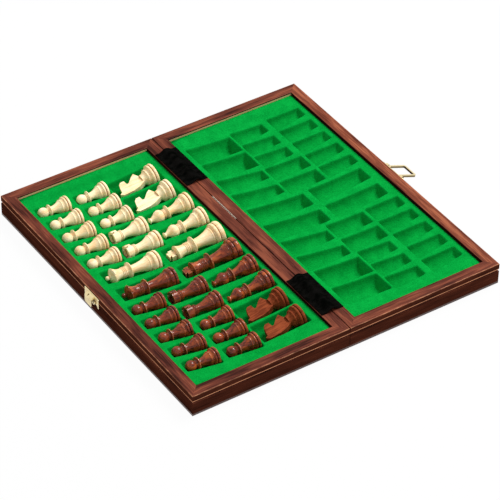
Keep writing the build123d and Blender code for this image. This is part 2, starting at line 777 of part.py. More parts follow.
class Man:
    """One kind of man: his length, his foot, and the part of his head that touches the pocket.

    grip is how far that part reaches below the axis, where that isn't its radius.
    """

    def __init__(self, length, foot, head, grip=None):
        self.length = length
        self.foot_radius, self.foot_height = foot
        self.head_radius, self.head_drop = head
        self.grip = grip

    def seat(self, pocket, foot_x):
        """Where the middle of the foot and the axis lie when the man rests in a pocket."""
        near_x = foot_x + self.foot_height
        near_z = pocket.axis_at(near_x) - (
            pocket.radius_at(near_x) - self.foot_radius - MAN_CLEARANCE
        )
        head_x = foot_x + self.length - self.head_drop
        head_pocket = pocket.radius_at(head_x)
        if self.grip is None:
            sink = head_pocket - self.head_radius
        else:
            sink = sqrt(head_pocket**2 - self.head_radius**2) - self.grip
        head_z = pocket.axis_at(head_x) - (sink - MAN_CLEARANCE)
        rise = atan2(head_z - near_z, head_x - near_x)
        return near_z - self.foot_height * tan(rise), rise


MEN = {
    "pawn": Man(PAWN_LENGTH, PAWN_FOOT, PAWN_HEAD),
    "rook": Man(ROOK_LENGTH, ROOK_FOOT, ROOK_HEAD),
    "knight": Man(KNIGHT_LENGTH, KNIGHT_FOOT, KNIGHT_HEAD, grip=KNIGHT_THICKNESS / 2),
    "bishop": Man(BISHOP_LENGTH, BISHOP_FOOT, BISHOP_HEAD),
    "queen": Man(QUEEN_LENGTH, QUEEN_FOOT, QUEEN_HEAD),
    "king": Man(KING_LENGTH, KING_FOOT, KING_HEAD),
}


def pawn():
    man = MEN["pawn"]
    seat_z = ball_seat(PAWN_SEAT, man.head_radius, man.length)
    with BuildPart() as body:
        with BuildSketch(Plane.XZ):
            with BuildLine():
                turned_foot(man, PAWN_TIER, PAWN_RING)
                turned_hollow(stem_base(PAWN_RING), PAWN_NECK)
                turned_collar(PAWN_NECK, PAWN_COLLAR, (PAWN_SEAT, seat_z))
                turned_ball(PAWN_SEAT, man.head_radius, man.length)
                Line((0, man.length), (0, 0))
            make_face()
        revolve(axis=Axis.Z)
    return body.part


def rook():
    man = MEN["rook"]
    well_z = man.length - ROOK_WELL_DEPTH
    with BuildPart() as body:
        with BuildSketch(Plane.XZ):
            with BuildLine():
                turned_foot(man, ROOK_TIER, ROOK_RING)
                turned_hollow(stem_base(ROOK_RING), ROOK_NECK)
                Line(ROOK_NECK, lowest_ring(ROOK_RINGS))
                turned_rings(ROOK_RINGS)
                turned_hollow(highest_ring(ROOK_RINGS), (man.head_radius, ROOK_CROWN))
                Polyline(
                    (man.head_radius, ROOK_CROWN),
                    (man.head_radius, man.length),
                    (ROOK_WELL_RADIUS, man.length),
                    (ROOK_WELL_RADIUS, well_z),
                    (0, well_z),
                    (0, 0),
                )
            make_face()
        revolve(axis=Axis.Z)
        with BuildSketch(Plane.XY.offset(man.length)):
            with PolarLocations(0, ROOK_SLOTS // 2, angular_range=180):
                Rectangle(2 * man.head_radius, ROOK_SLOT_WIDTH)
        extrude(amount=-ROOK_WELL_DEPTH, mode=Mode.SUBTRACT)
    return body.part


def bishop():
    man = MEN["bishop"]
    egg_z = man.length - man.head_drop
    slit = Plane(
        origin=(man.head_radius, 0, egg_z), x_dir=(1, 0, -BISHOP_SLIT_SLOPE), z_dir=(0, 1, 0)
    )
    with BuildPart() as body:
        with BuildSketch(Plane.XZ):
            with BuildLine():
                turned_foot(man, BISHOP_TIER, BISHOP_RING)
                turned_hollow(stem_base(BISHOP_RING), BISHOP_NECK)
                turned_collar(BISHOP_NECK, BISHOP_COLLAR, lowest_ring(BISHOP_RINGS))
                turned_rings(BISHOP_RINGS)
                Spline(
                    highest_ring(BISHOP_RINGS),
                    (man.head_radius, egg_z),
                    BISHOP_TIP,
                    tangents=(BISHOP_EGG_START, BISHOP_EGG_END),
                )
                turned_hollow(BISHOP_TIP, BISHOP_BUTTON)
                turned_dome(*BISHOP_BUTTON, man.length)
                Line((0, man.length), (0, 0))
            make_face()
        revolve(axis=Axis.Z)
        with BuildSketch(slit):
            Rectangle(man.head_radius, BISHOP_SLIT)
        extrude(amount=man.foot_radius, both=True, mode=Mode.SUBTRACT)
    return body.part


def queen():
    man = MEN["queen"]
    crown_z = man.length - man.head_drop
    crown_edge = (man.head_radius - GROOVE, crown_z + GROOVE)
    seat_z = ball_seat(QUEEN_SEAT, QUEEN_BALL, man.length)
    with BuildPart() as body:
        with BuildSketch(Plane.XZ):
            with BuildLine():
                turned_foot(man, QUEEN_TIER, QUEEN_RING)
                turned_hollow(stem_base(QUEEN_RING), QUEEN_NECK)
                turned_collar(QUEEN_NECK, QUEEN_COLLAR, lowest_ring(QUEEN_RINGS))
                turned_rings(QUEEN_RINGS)
                turned_hollow(highest_ring(QUEEN_RINGS), (man.head_radius, crown_z))
                Line((man.head_radius, crown_z), crown_edge)
                Line(crown_edge, (QUEEN_SEAT, seat_z))
                turned_ball(QUEEN_SEAT, QUEEN_BALL, man.length)
                Line((0, man.length), (0, 0))
            make_face()
        revolve(axis=Axis.Z)
        with BuildSketch(Plane.XY.offset(crown_z - QUEEN_SCALLOP_RADIUS)):
            with PolarLocations(man.head_radius + QUEEN_SCALLOP_RADIUS / 2, QUEEN_SCALLOPS):
                Circle(QUEEN_SCALLOP_RADIUS)
        extrude(amount=2 * QUEEN_SCALLOP_RADIUS, mode=Mode.SUBTRACT)
    return body.part


def king():
    man = MEN["king"]
    cup_z = man.length - man.head_drop
    with BuildPart() as body:
        with BuildSketch(Plane.XZ):
            with BuildLine():
                turned_foot(man, KING_TIER, KING_RING)
                turned_hollow(stem_base(KING_RING), KING_NECK)
                turned_collar(KING_NECK, KING_COLLAR, lowest_ring(KING_RINGS))
                turned_rings(KING_RINGS)
                turned_hollow(highest_ring(KING_RINGS), (man.head_radius, cup_z))
                Polyline(
                    (man.head_radius, cup_z),
                    (man.head_radius - GROOVE, cup_z + GROOVE),
                    (0, cup_z + 2 * GROOVE),
                    (0, 0),
                )
            make_face()
        revolve(axis=Axis.Z)
        with BuildSketch(Plane.XZ.offset(-KING_CROSS_THICKNESS / 2)):
            with BuildLine() as cross:
                half_cross = [(x, cup_z + z) for x, z in KING_CROSS]
                Polyline((0, cup_z), *half_cross, (0, man.length))
                mirror(cross.line, about=Plane.YZ)
            make_face()
        extrude(amount=KING_CROSS_THICKNESS)
    return body.part


def knight():
    man = MEN["knight"]
    plate_z = KNIGHT_STEM_TOP
    with BuildPart() as body:
        with BuildSketch(Plane.XZ):
            with BuildLine():
                turned_foot(man, KNIGHT_TIER, KNIGHT_RING)
                turned_hollow(stem_base(KNIGHT_RING), (KNIGHT_NECK, plate_z))
                Polyline((KNIGHT_NECK, plate_z), (0, plate_z), (0, 0))
            make_face()
        revolve(axis=Axis.Z)
        with BuildSketch(Plane.XZ.offset(-KNIGHT_THICKNESS / 2)):
            with BuildLine():
                Polyline(*[(x, plate_z + z) for x, z in KNIGHT_CREST])
                ThreePointArc(
                    *[(x, plate_z + z) for x, z in (KNIGHT_CREST[-1], KNIGHT_CHEST, KNIGHT_CREST[0])]
                )
            make_face()
        extrude(amount=KNIGHT_THICKNESS)
    return body.part


# ---------------------------------------------------------------- placing and writing
def to_base(part):
    """The base's copy of a piece of the lid."""
    return mirror(part, about=Plane.YZ)


def write(part, name):
    part.label = name
    export_step(part, f"parts/{name}.step")


def case_pieces():
    """Both halves of the case, with their trays."""
    mortises = hinge_mortises()
    lid = {**case_rails(), "board_panel": board_panel(), "tray": tray()}
    lid["spine_rail"] = lid["spine_rail"] - mortises
    pieces = {f"base_{name}": to_base(part) for name, part in lid.items()}
    pieces.update({f"lid_{name}": part for name, part in lid.items()})
    pieces["lid_outer_rail"] = pieces["lid_outer_rail"] - clasp_nails()
    pieces["base_outer_rail"] = pieces["base_outer_rail"] - keeper_nails()
    return pieces


def hinge_pieces():
    """Leaves, pins, screws and patches of both hinges."""
    lid_leaves = Part() + [hinge_leaf(hinge_y, "lid") for hinge_y in HINGE_Y]
    base_leaves = Part() + [hinge_leaf(hinge_y, "base") for hinge_y in HINGE_Y]
    screws = Part() + [hinge_screws(hinge_y) for hinge_y in HINGE_Y]
    return {
        "lid_hinge_leaves": lid_leaves,
        "base_hinge_leaves": to_base(base_leaves),
        "hinge_pins": hinge_pins(),
        "lid_hinge_screws": screws,
        "base_hinge_screws": to_base(screws),
        "lid_hinge_patches": hinge_patches(),
        "base_hinge_patches": to_base(hinge_patches()),
    }


def clasp_pieces():
    return {
        "clasp_plate": clasp_plate(),
        "clasp_nails": clasp_nails(),
        "clasp_loop": clasp_loop(),
        "keeper": keeper(),
        "keeper_nails": keeper_nails(),
    }


def men_pieces():
    """All 32 men in the base: the light ones at +Y, the dark ones at -Y."""
    shapes = {
        "pawn": pawn(),
        "rook": rook(),
        "knight": knight(),
        "bishop": bishop(),
        "queen": queen(),
        "king": king(),
    }
    pieces = {}
    for colour, side in (("light", 1), ("dark", -1)):
        count = {kind: 0 for kind in MEN}
        for pocket_name, pocket in POCKETS.items():
            kind = pocket_name.split("_")[-1]
            foot_x = pocket.foot_x + (pocket.light_gap if side > 0 else pocket.dark_gap)
            foot_z, rise = MEN[kind].seat(pocket, foot_x)
            for row in pocket.rows:
                count[kind] += 1
                alone = kind in ("king", "queen")
                name = f"{colour}_{kind}" + ("" if alone else f"_{count[kind]}")
                lying = Plane(
                    origin=(-foot_x, side * row + PATTERN_SHIFT, foot_z),
                    x_dir=(0, 1, 0),
                    z_dir=(-cos(rise), 0, sin(rise)),
                )
                pieces[name] = lying.location * shapes[kind]
    return pieces


os.makedirs("parts", exist_ok=True)
for group in (case_pieces(), hinge_pieces(), clasp_pieces(), men_pieces()):
    for piece_name, piece in group.items():
        write(piece, piece_name)
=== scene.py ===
"""The looks of the folding chess box: stained wood, flocked trays, boxwood men, brass and velvet.

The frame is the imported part's: X across the hinge, Y along it, Z up, with the open box lying on
z = 0. Blender works in metres, so a number of millimetres is written times MM. The trays and the
velvet are worked out in plain millimetres, up to where their points become mesh. Materials read
object coordinates, which are the same frame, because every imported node's object sits at the origin.
"""

import math

import bmesh
import bpy
import numpy as np
from mathutils import Matrix, Vector


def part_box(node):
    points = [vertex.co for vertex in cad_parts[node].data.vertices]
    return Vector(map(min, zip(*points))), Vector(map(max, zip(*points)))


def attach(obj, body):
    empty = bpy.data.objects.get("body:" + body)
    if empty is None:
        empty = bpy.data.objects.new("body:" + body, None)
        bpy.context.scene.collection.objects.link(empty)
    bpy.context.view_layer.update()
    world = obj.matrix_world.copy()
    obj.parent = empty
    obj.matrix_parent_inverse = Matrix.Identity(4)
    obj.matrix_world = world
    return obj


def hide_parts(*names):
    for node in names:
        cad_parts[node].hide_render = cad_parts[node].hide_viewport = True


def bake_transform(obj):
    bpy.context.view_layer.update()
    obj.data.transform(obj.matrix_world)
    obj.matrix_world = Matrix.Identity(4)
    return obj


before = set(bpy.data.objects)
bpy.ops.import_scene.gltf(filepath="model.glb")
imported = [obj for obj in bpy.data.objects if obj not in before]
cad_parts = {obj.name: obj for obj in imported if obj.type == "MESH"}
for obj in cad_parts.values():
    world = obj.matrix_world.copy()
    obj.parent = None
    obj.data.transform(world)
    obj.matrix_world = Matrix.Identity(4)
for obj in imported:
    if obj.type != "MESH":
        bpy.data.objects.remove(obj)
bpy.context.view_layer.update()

MM = 0.001

# ---------------------------------------------------------------- places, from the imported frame
TRAY_FIT = 0.2  # mm between a tray and the rails and board around it

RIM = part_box("lid_outer_rail")[1].z
CASE_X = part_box("lid_outer_rail")[1].x
CASE_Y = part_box("lid_far_rail")[1].y
WELL_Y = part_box("lid_far_rail")[0].y
WELL_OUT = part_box("lid_tray")[1].x + TRAY_FIT * MM
WELL_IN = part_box("lid_tray")[0].x - TRAY_FIT * MM
BOARD_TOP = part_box("lid_board_panel")[1].z


# ---------------------------------------------------------------- colours
def linear(share):
    """One channel of a colour on a screen, 0 to 1, as an amount of light."""
    return share / 12.92 if share <= 0.04045 else ((share + 0.055) / 1.055) ** 2.4


def colour(red, green, blue):
    """A colour written as a screen shows it, 0 to 255, as the shader wants it."""
    return (linear(red / 255), linear(green / 255), linear(blue / 255), 1.0)


WHITE = colour(255, 255, 255)
FLOOR_PAINT = colour(225, 225, 225)

RIM_WOOD = (colour(54, 23, 17), colour(96, 48, 36), colour(132, 72, 52))
RIM_WOOD_WARM = (colour(74, 32, 22), colour(114, 58, 41), colour(154, 88, 62))
# The rails' wood with painted shade, for their sides; its two lighter shades also make the board's
# border underneath
SHADED_SIDE_AND_BORDER_WOOD = (colour(46, 21, 15), colour(72, 35, 24), colour(98, 50, 34))
STAIN_LINE = colour(38, 18, 14)
# Painted highlight on the rails' edges, partly wear
LIT_AND_WORN_EDGE_WOOD = colour(224, 156, 116)
# Painted glint along the seam between the halves
SEAM_GLINT = colour(238, 224, 206)
RAW_WOOD = (colour(222, 178, 130), colour(242, 206, 160))
BOARD_LIGHT = (colour(206, 160, 104), colour(226, 186, 130))
BOARD_DARK = (colour(92, 46, 28), colour(122, 64, 40))

FLOCK = (colour(2, 120, 42), colour(10, 164, 64))
VELVET = (colour(3, 4, 3), colour(16, 15, 14))

BOXWOOD = (colour(244, 204, 146), colour(255, 240, 200))
# Painted shade in the men's creases
BOXWOOD_CREASE_SHADE = colour(184, 116, 58)
DARK_STAIN = (colour(66, 21, 9), colour(140, 56, 28))
# Painted shade in the dark men's creases
DARK_CREASE_SHADE = colour(26, 8, 4)
DARK_WORN = colour(206, 134, 92)
AMBER_STAIN = colour(176, 84, 36)
KNIGHT_STAIN = (colour(102, 42, 20), colour(148, 72, 40))

PALE_BRASS = colour(236, 218, 168)
HINGE_BRASS = colour(206, 170, 98)
# Painted shade for the brass where it doesn't face up
SHADED_BRASS = colour(104, 86, 48)
# Painted highlight for the brass's edges
BRASS_EDGE_HIGHLIGHT = colour(255, 244, 214)
TARNISH = colour(150, 110, 60)  # multiplies a brass's own colour


# ---------------------------------------------------------------- building materials
EDGE_SAMPLES = 6
CREVICE_SAMPLES = 6
ROUNDING_SAMPLES = 8
MIX_FIRST, MIX_SECOND, MIX_RESULT = 6, 7, 2  # a Mix node's colour sockets, whose names aren't unique
ALONG_X, ALONG_Y = 0, 1  # the way that a piece of wood and its grain run


def grain_sizes(along, length, width):
    """Sizes of a streak of wood that runs along the given axis, in mm."""
    return [length if axis == along else width for axis in range(3)]


class Finish:
    """A material under construction. Most methods add nodes and give the last one's output."""

    def __init__(self, name):
        self.material = bpy.data.materials.new(name)
        self.material.use_nodes = True
        self.nodes = self.material.node_tree.nodes
        self.links = self.material.node_tree.links
        self.shader = self.nodes["Principled BSDF"]
        coordinates = self.nodes.new("ShaderNodeTexCoord")
        self.place = coordinates.outputs["Object"]
        self.facing = coordinates.outputs["Normal"]

    def put(self, socket, value):
        """Links an output to the socket, or sets the socket to a number or colour."""
        if isinstance(value, bpy.types.NodeSocket):
            self.links.new(value, socket)
        else:
            socket.default_value = value

    def set(self, **inputs):
        """Sets the shader's own sockets, named with underscores for spaces."""
        for name, value in inputs.items():
            self.put(self.shader.inputs[name.replace("_", " ")], value)

    def math(self, operation, *values):
        node = self.nodes.new("ShaderNodeMath")
        node.operation = operation
        for socket, value in zip(node.inputs, values):
            self.put(socket, value)
        return node.outputs[0]

    def times(self, first, second):
        return self.math("MULTIPLY", first, second)

    def plus(self, first, second):
        return self.math("ADD", first, second)

    def away(self, value, middle):
        """How far value is from middle, either way."""
        return self.math("ABSOLUTE", self.math("SUBTRACT", value, middle))

    def average(self, first, second, share):
        """The two values averaged, with the second one's share."""
        return self.plus(self.times(first, 1 - share), self.times(second, share))

    def between(self, value, low, high):
        """Runs evenly from low to high as value runs from 0 to 1."""
        return self.plus(self.times(value, high - low), low)

    def ramp(self, value, low, high, out_low=0.0, out_high=1.0):
        """Runs smoothly from out_low to out_high as value runs from low to high."""
        node = self.nodes.new("ShaderNodeMapRange")
        node.interpolation_type = "SMOOTHSTEP"
        for socket, number in zip(node.inputs, (value, low, high, out_low, out_high)):
            self.put(socket, number)
        return node.outputs[0]

    def split(self, vector):
        """The vector's X, Y and Z."""
        node = self.nodes.new("ShaderNodeSeparateXYZ")
        self.put(node.inputs[0], vector)
        return tuple(node.outputs)

    def up(self):
        """How far the surface faces up: 1 on top, 0 on a side, -1 underneath."""
        return self.split(self.facing)[2]

    def stretched(self, sizes):
        """Object coordinates in which one unit is the given size along each axis, in mm."""
        node = self.nodes.new("ShaderNodeMapping")
        self.put(node.inputs["Vector"], self.place)
        node.inputs["Scale"].default_value = [1 / (size * MM) for size in sizes]
        return node.outputs[0]

    def noise(self, sizes, detail=4.0, roughness=0.55, distortion=0.0, seed=0.0):
        """Noise with spots of the given size along each axis, in mm. Most of it is near 0.5."""
        node = self.nodes.new("ShaderNodeTexNoise")
        node.noise_dimensions = "4D"
        self.put(node.inputs["Vector"], self.stretched(sizes))
        node.inputs["W"].default_value = seed
        node.inputs["Scale"].default_value = 1.0
        node.inputs["Detail"].default_value = detail
        node.inputs["Roughness"].default_value = roughness
        node.inputs["Distortion"].default_value = distortion
        return node.outputs["Fac"]

    def blend(self, share, first, second, mode="MIX"):
        """The first colour, changed to the second by a share."""
        node = self.nodes.new("ShaderNodeMix")
        node.data_type = "RGBA"
        node.blend_type = mode
        self.put(node.inputs["Factor"], share)
        self.put(node.inputs[MIX_FIRST], first)
        self.put(node.inputs[MIX_SECOND], second)
        return node.outputs[MIX_RESULT]

    def shades(self, value, low, high, colours):
        """Two or three colours, spread over value's range."""
        middle = high if len(colours) == 2 else (low + high) / 2
        result = self.blend(self.ramp(value, low, middle), colours[0], colours[1])
        if len(colours) == 3:
            result = self.blend(self.ramp(value, middle, high), result, colours[2])
        return result

    def rounded(self, radius, samples):
        """The surface's normal, as if its edges were rounded by a radius in mm."""
        node = self.nodes.new("ShaderNodeBevel")
        node.samples = samples
        node.inputs["Radius"].default_value = radius * MM
        return node.outputs["Normal"]

    def edges(self, radius, low, high):
        """Where the surface turns within radius, in mm: 0 on flats, 1 on edges and in corners."""
        geometry = self.nodes.new("ShaderNodeNewGeometry")
        cosine = self.nodes.new("ShaderNodeVectorMath")
        cosine.operation = "DOT_PRODUCT"
        self.put(cosine.inputs[0], geometry.outputs["Normal"])
        self.put(cosine.inputs[1], self.rounded(radius, EDGE_SAMPLES))
        return self.ramp(self.math("SUBTRACT", 1.0, cosine.outputs["Value"]), low, high)

    def crevices(self, distance):
        """How open the surface is within distance, in mm: 1 in the open, 0 deep in a crease."""
        node = self.nodes.new("ShaderNodeAmbientOcclusion")
        node.samples = CREVICE_SAMPLES
        node.inputs["Distance"].default_value = distance * MM
        return node.outputs["AO"]

    def own(self, low, high):
        """A number of each object's own, from low to high."""
        node = self.nodes.new("ShaderNodeObjectInfo")
        return self.between(node.outputs["Random"], low, high)

    def bumps(self, layers, rounding=0.0):
        """Bump from (height, depth in mm) layers, on edges rounded by a radius in mm."""
        normal = self.rounded(rounding, ROUNDING_SAMPLES) if rounding else None
        for height, depth in layers:
            node = self.nodes.new("ShaderNodeBump")
            node.inputs["Strength"].default_value = 1.0
            node.inputs["Distance"].default_value = depth * MM
            self.put(node.inputs["Height"], height)
            if normal is not None:
                self.put(node.inputs["Normal"], normal)
            normal = node.outputs["Normal"]
        self.put(self.shader.inputs["Normal"], normal)


# ---------------------------------------------------------------- case
GROOVE_DROP = 6.7 * MM  # rim to the middle of the groove round the case
GROOVE_HALF = 1.0 * MM
GROOVE_LIP = RIM - GROOVE_DROP + GROOVE_HALF + 0.15 * MM  # the painted highlight is just above the groove
SEAM_MIDDLE = 35.0 * MM  # the stretch of the seam between the halves where a pale glint is painted on the wood
SEAM_HALF = 18.0 * MM
STAIN_REACH = (-1.3 * MM, -1.0 * MM)  # below the rim, where the stain inside the well runs out
STAIN_WAVER = 0.4 * MM
FACE_SLACK = 0.05 * MM  # so that the well's own walls count as inside it
BOARD_SQUARES = 8
BOARD_BORDER = 18.0 * MM
INLAY_OUT = 0.8 * MM  # the squares' edge to the middle of the light line round them
INLAY_HALF = (0.6 * MM, 0.75 * MM)  # half the line's width, where it begins and ends to fade


def edge_highlight_and_wear(look, breaks):
    """The share of pale wood on the rim's outer edge and the groove's upper lip: painted highlights,
    broken up like wear, and partly wear on the rim's edge.
    """
    x, y, z = look.split(look.place)
    outward = look.math("MAXIMUM",
                        look.math("SUBTRACT", look.math("ABSOLUTE", x), CASE_X),
                        look.math("SUBTRACT", look.math("ABSOLUTE", y), CASE_Y))
    below_rim = look.math("SUBTRACT", z, RIM)
    squares = look.plus(look.math("POWER", outward, 2.0), look.math("POWER", below_rim, 2.0))
    near_arris = look.ramp(look.math("SQRT", squares), 0.25 * MM, 0.75 * MM, 1.0, 0.0)
    arris = look.times(near_arris, look.ramp(breaks, 0.42, 0.62, 0.1, 0.7))
    near_lip = look.ramp(look.away(z, GROOVE_LIP), 0.3 * MM, 0.6 * MM, 1.0, 0.0)
    lip = look.times(near_lip, look.ramp(breaks, 0.35, 0.55, 0.6, 1.0))
    on_face = look.ramp(outward, -0.6 * MM, -0.1 * MM)
    return look.math("MAXIMUM", arris, look.times(lip, on_face))


def seam_glint_share(look):
    """The share of a painted pale glint on a stretch of the seam between the two halves."""
    x, y, _ = look.split(look.place)
    on_seam = look.ramp(look.math("ABSOLUTE", x), 0.4 * MM, 0.7 * MM, 1.0, 0.0)
    from_middle = look.away(y, SEAM_MIDDLE)
    return look.times(on_seam, look.ramp(from_middle, SEAM_HALF - MM, SEAM_HALF + MM, 1.0, 0.0))


def within_walls(look):
    """1 on the walls of the two wells and between them, and 0 on the case's outer faces."""
    x, y, _ = look.split(look.place)
    inside_x = look.math("LESS_THAN", look.math("ABSOLUTE", x), WELL_OUT + FACE_SLACK)
    inside_y = look.math("LESS_THAN", look.math("ABSOLUTE", y), WELL_Y + FACE_SLACK)
    return look.times(inside_y, inside_x)


def case_wood(name, along, rim_shades, seed):
    """Stained rail: lighter on the rim, with painted shade on its sides, and pale edges that are
    painted highlights, partly wear.
    """
    look = Finish(name)
    up = look.up()
    patches = look.noise(grain_sizes(along, length=46, width=5.5), detail=3, seed=seed)
    streaks = look.noise(grain_sizes(along, length=22, width=0.8),
                         detail=5, roughness=0.65, distortion=0.4, seed=seed + 5)
    pores = look.noise(grain_sizes(along, length=3.5, width=0.22), detail=2, seed=seed + 9)
    breaks = look.noise(grain_sizes(along, length=9, width=0.9),
                        detail=4, roughness=0.7, seed=seed + 3)

    figure = look.average(patches, streaks, 0.45)
    rim = look.shades(figure, 0.4, 0.6, rim_shades)
    side = look.shades(figure, 0.36, 0.68, SHADED_SIDE_AND_BORDER_WOOD)
    # Painted shade: faces that don't face up take the darker side colours, the rim the lighter ones
    wood = look.blend(look.ramp(up, 0.35, 0.9), side, rim)
    wood = look.blend(look.ramp(pores, 0.60, 0.74, 0.0, 0.45), wood, STAIN_LINE)
    # Painted highlights, partly wear, on the rim's outer edge and the groove's lip
    wood = look.blend(edge_highlight_and_wear(look, breaks), wood, LIT_AND_WORN_EDGE_WOOD)
    # Painted glint: a pale line along the seam on the spine rails
    if along == ALONG_Y:
        wood = look.blend(seam_glint_share(look), wood, SEAM_GLINT)

    inside = within_walls(look)
    # Darkened inner walls: the well's walls that don't face up take the stain line's colour
    stained = look.times(inside, look.ramp(up, 0.2, 0.6, 1.0, 0.0))
    wood = look.blend(stained, wood, STAIN_LINE)
    roughness = look.ramp(streaks, 0.3, 0.7, 0.42, 0.58)
    if along == ALONG_X:
        # The end rails are stained just below the rim and raw below that
        below_rim = look.math("SUBTRACT", look.split(look.place)[2], RIM)
        depth = look.plus(below_rim, look.between(breaks, -STAIN_WAVER, STAIN_WAVER))
        raw_share = look.times(inside, look.ramp(depth, *STAIN_REACH, 1.0, 0.0))
        wood = look.blend(raw_share, wood, look.shades(streaks, 0.35, 0.65, RAW_WOOD))
        roughness = look.plus(roughness, look.times(raw_share, 0.3))

    look.set(Base_Color=wood, Roughness=roughness, Specular_IOR_Level=0.0)
    look.set(Coat_Weight=look.ramp(up, 0.35, 0.9, 0.0, 0.12), Coat_Roughness=0.35)
    look.bumps([(streaks, 0.05), (pores, 0.03)])
    return look.material


def board_veneer():
    """The playing board underneath, eight squares each way, inside a plain border."""
    look = Finish("board_veneer")
    square = (2 * CASE_X - 2 * BOARD_BORDER) / BOARD_SQUARES
    board_edge = BOARD_SQUARES / 2 * square
    x, y, _ = look.split(look.place)
    cell_x = look.math("FLOOR", look.math("DIVIDE", x, square))
    cell_y = look.math("FLOOR", look.math("DIVIDE", y, square))
    parity = look.math("MODULO", look.math("ABSOLUTE", look.plus(cell_x, cell_y)), 2.0)
    reach = look.math("MAXIMUM", look.math("ABSOLUTE", x), look.math("ABSOLUTE", y))
    in_board = look.math("LESS_THAN", reach, board_edge)
    inlay = look.ramp(look.away(reach, board_edge + INLAY_OUT), *INLAY_HALF, 1.0, 0.0)

    grain = look.noise(grain_sizes(ALONG_Y, length=30, width=1.1),
                       detail=5, roughness=0.6, distortion=0.5)
    light = look.shades(grain, 0.35, 0.65, BOARD_LIGHT)
    dark = look.shades(grain, 0.35, 0.65, BOARD_DARK)
    border = look.shades(grain, 0.35, 0.65, SHADED_SIDE_AND_BORDER_WOOD[1:])
    wood = look.blend(in_board, border, look.blend(parity, light, dark))
    wood = look.blend(inlay, wood, BOARD_LIGHT[0])
    # Painted shade: the panel's faces that don't face down take the darker side colours
    down = look.ramp(look.up(), -0.9, -0.5, 1.0, 0.0)
    wood = look.blend(down, look.shades(grain, 0.36, 0.68, SHADED_SIDE_AND_BORDER_WOOD), wood)
    look.set(Base_Color=wood, Roughness=look.ramp(grain, 0.3, 0.7, 0.3, 0.42))
    look.set(Coat_Weight=0.25, Coat_Roughness=0.2)
    look.bumps([(grain, 0.03)])
    return look.material


# ---------------------------------------------------------------- flock and velvet
def green_flock():
    look = Finish("green_flock")
    clouds = look.noise((9, 9, 9), detail=3)
    fibres = look.noise((0.8, 0.8, 0.8), detail=4, roughness=0.75)
    green = look.shades(look.average(clouds, fibres, 0.75), 0.35, 0.65, FLOCK)
    look.set(Base_Color=green, Roughness=0.95, Specular_IOR_Level=0.0)
    look.bumps([(fibres, 0.12), (clouds, 0.1)], rounding=0.6)
    return look.material


def black_velvet():
    look = Finish("black_velvet")
    pile = look.noise((0.4, 0.4, 0.4), detail=3, roughness=0.7)
    nap = look.noise((7, 4, 7), detail=2)
    black = look.shades(look.average(pile, nap, 0.5), 0.4, 0.6, VELVET)
    look.set(Base_Color=black, Roughness=0.95, Specular_IOR_Level=0.0)
    look.bumps([(pile, 0.15), (nap, 0.1)])
    return look.material


# ---------------------------------------------------------------- men
def boxwood():
    """Light men: pale, with a little tone of each man's own, and painted shade, brown, in their
    creases.
    """
    look = Finish("light_men_wood")
    grain = look.noise(grain_sizes(ALONG_X, length=16, width=0.9),
                       detail=4, roughness=0.6, distortion=0.3)
    rings = look.noise(grain_sizes(ALONG_X, length=40, width=3.5), detail=2)
    tone = look.plus(look.average(grain, rings, 0.5), look.own(-0.04, 0.04))
    wood = look.shades(tone, 0.36, 0.62, BOXWOOD)
    # Painted shade, brown, in the creases
    crease_shade = look.ramp(look.crevices(1.4), 0.35, 0.92, 0.95, 0.0)
    wood = look.blend(crease_shade, wood, BOXWOOD_CREASE_SHADE)
    look.set(Base_Color=wood, Roughness=look.ramp(grain, 0.3, 0.7, 0.42, 0.55))
    look.set(Specular_IOR_Level=0.35)
    look.bumps([(grain, 0.03)], rounding=0.25)
    return look.material


def stained_wood():
    """Dark men: glossy, with amber blotches, painted shade in their creases, and worn edges."""
    look = Finish("dark_men_wood")
    grain = look.noise(grain_sizes(ALONG_X, length=14, width=0.8),
                       detail=4, roughness=0.6, distortion=0.3)
    blotches = look.noise(grain_sizes(ALONG_X, length=13, width=6), detail=2)
    wood = look.shades(grain, 0.35, 0.65, DARK_STAIN)
    amber = look.times(look.ramp(blotches, 0.46, 0.62), look.own(0.25, 1.0))
    wood = look.blend(amber, wood, AMBER_STAIN)
    # Painted shade, near black, in the creases
    crease_shade = look.ramp(look.crevices(1.6), 0.3, 0.9, 0.95, 0.0)
    wood = look.blend(crease_shade, wood, DARK_CREASE_SHADE)
    edges = look.edges(radius=0.7, low=0.02, high=0.16)
    lighter_edges = look.times(edges, look.ramp(look.crevices(1.2), 0.3, 0.8))
    wood = look.blend(look.times(lighter_edges, 0.95), wood, DARK_WORN)
    look.set(Base_Color=wood, Roughness=look.ramp(grain, 0.3, 0.7, 0.26, 0.4))
    look.set(Specular_IOR_Level=0.12, Coat_Weight=0.35, Coat_Roughness=0.08)
    look.bumps([(grain, 0.03)], rounding=0.25)
    return look.material


def knight_wood():
    """Dark knights: stained, and matte on the sawn faces, which show long streaks."""
    look = Finish("knight_wood")
    grain = look.noise(grain_sizes(ALONG_X, length=12, width=0.9),
                       detail=5, roughness=0.65, distortion=0.6)
    bands = look.noise(grain_sizes(ALONG_X, length=30, width=2.6), detail=2)
    wood = look.shades(look.average(grain, bands, 0.45), 0.38, 0.62, KNIGHT_STAIN)
    # Painted shade, the stain's darkest colour, in the creases
    crease_shade = look.ramp(look.crevices(2.0), 0.3, 0.9, 0.7, 0.0)
    wood = look.blend(crease_shade, wood, DARK_STAIN[0])
    look.set(Base_Color=wood, Roughness=look.ramp(grain, 0.3, 0.7, 0.5, 0.68))
    look.set(Specular_IOR_Level=0.05)
    look.bumps([(grain, 0.05)], rounding=0.25)
    return look.material


